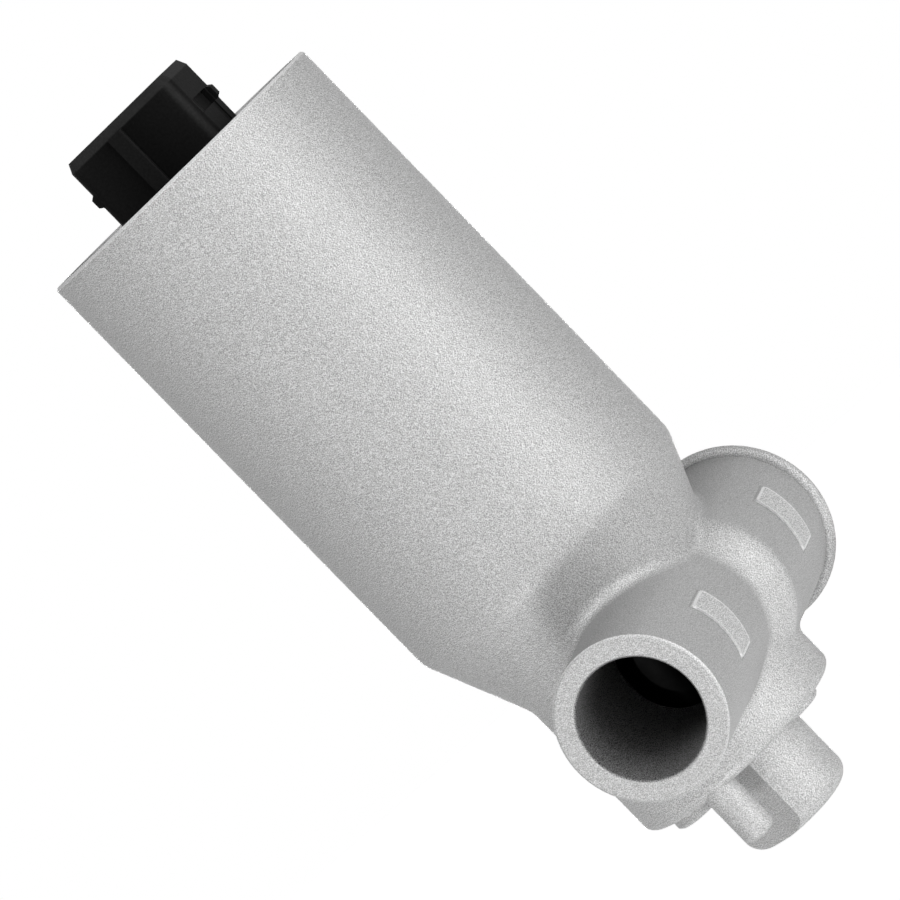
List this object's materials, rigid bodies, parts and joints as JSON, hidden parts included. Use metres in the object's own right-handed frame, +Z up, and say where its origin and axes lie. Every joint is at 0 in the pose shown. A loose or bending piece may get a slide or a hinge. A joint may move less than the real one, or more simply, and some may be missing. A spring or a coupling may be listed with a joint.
{
  "type": "idle air control valve",
  "caption": "Rotary idle air control valve: cast cylindrical motor housing with two side hose nozzles, a bearing boss below and a plastic plug on top.",
  "frame": {"origin": "centre of the straight clamp land of the motor housing, on the motor axis", "axes": "+Z up the motor axis to the plug, -Y the way nozzle 1 faces, +Y the way nozzle 2 faces, +X the side on which both nozzles lie"},
  "size_m": [0.0492, 0.0673, 0.138],
  "materials": {
    "cast_aluminium": "fine bead-blasted casting",
    "black_plastic": "glass-filled, fine grain",
    "seal_rubber": "smooth",
    "spring_steel": "drawn",
    "bearing_steel": "ground",
    "tinned_contact": "tinned",
    "brush_carbon": "sintered",
    "brass": "folded strip",
    "ferrite": "sintered",
    "yoke_steel": "zinc plated",
    "moulded_laminate": "pressed",
    "machined_aluminium": "turned",
    "hard_anodised": "dark hard coating on turned aluminium",
    "ground_steel": "ground",
    "stack_steel": "stacked sheet edges",
    "copper_winding": "enamelled wire",
    "copper": "turned"
  },
  "bodies": {
    "casing": {"housing": "cast_aluminium", "connector_cap": "black_plastic", "cap_seal": "seal_rubber", "cap_retaining_ring": "spring_steel", "upper_bearing_outer": "bearing_steel", "lower_bearing_outer": "bearing_steel", "terminal_left": "tinned_contact", "terminal_right": "tinned_contact", "brush_left": "brush_carbon", "brush_right": "brush_carbon", "brush_tube_left": "brass", "brush_tube_right": "brass", "brush_spring_left": "spring_steel", "brush_spring_right": "spring_steel", "magnet_left": "ferrite", "magnet_right": "ferrite", "magnet_springs": "spring_steel", "flux_ring": "yoke_steel", "preload_washer": "spring_steel", "brush_plate": "moulded_laminate", "divider_plate": "machined_aluminium", "shaft_seal": "seal_rubber", "stop_pin": "ground_steel", "spring_anchor": "ground_steel", "return_spring": "spring_steel"},
    "rotor": {"shaft": "ground_steel", "shaft_circlip": "spring_steel", "armature_core": "stack_steel", "armature_winding": "copper_winding", "winding_disc_upper": "moulded_laminate", "winding_disc_lower": "moulded_laminate", "commutator_hub": "moulded_laminate", "commutator_segments": "copper", "spring_collar": "ground_steel", "rotary_slide": "hard_anodised", "slide_pin": "ground_steel", "upper_bearing_inner": "bearing_steel", "lower_bearing_inner": "bearing_steel", "upper_bearing_balls": "bearing_steel", "lower_bearing_balls": "bearing_steel"}
  },
  "joints": [
    {"name": "slide_turn", "type": "hinge", "parent": "casing", "child": "rotor", "pos_m": [0, 0, 0], "axis": [0, 0, -1], "range_deg": [0, 90], "stiffness_Nm_per_rad": 0.015, "springref_deg": -28.65, "deforming": ["return_spring"]}
  ]
}
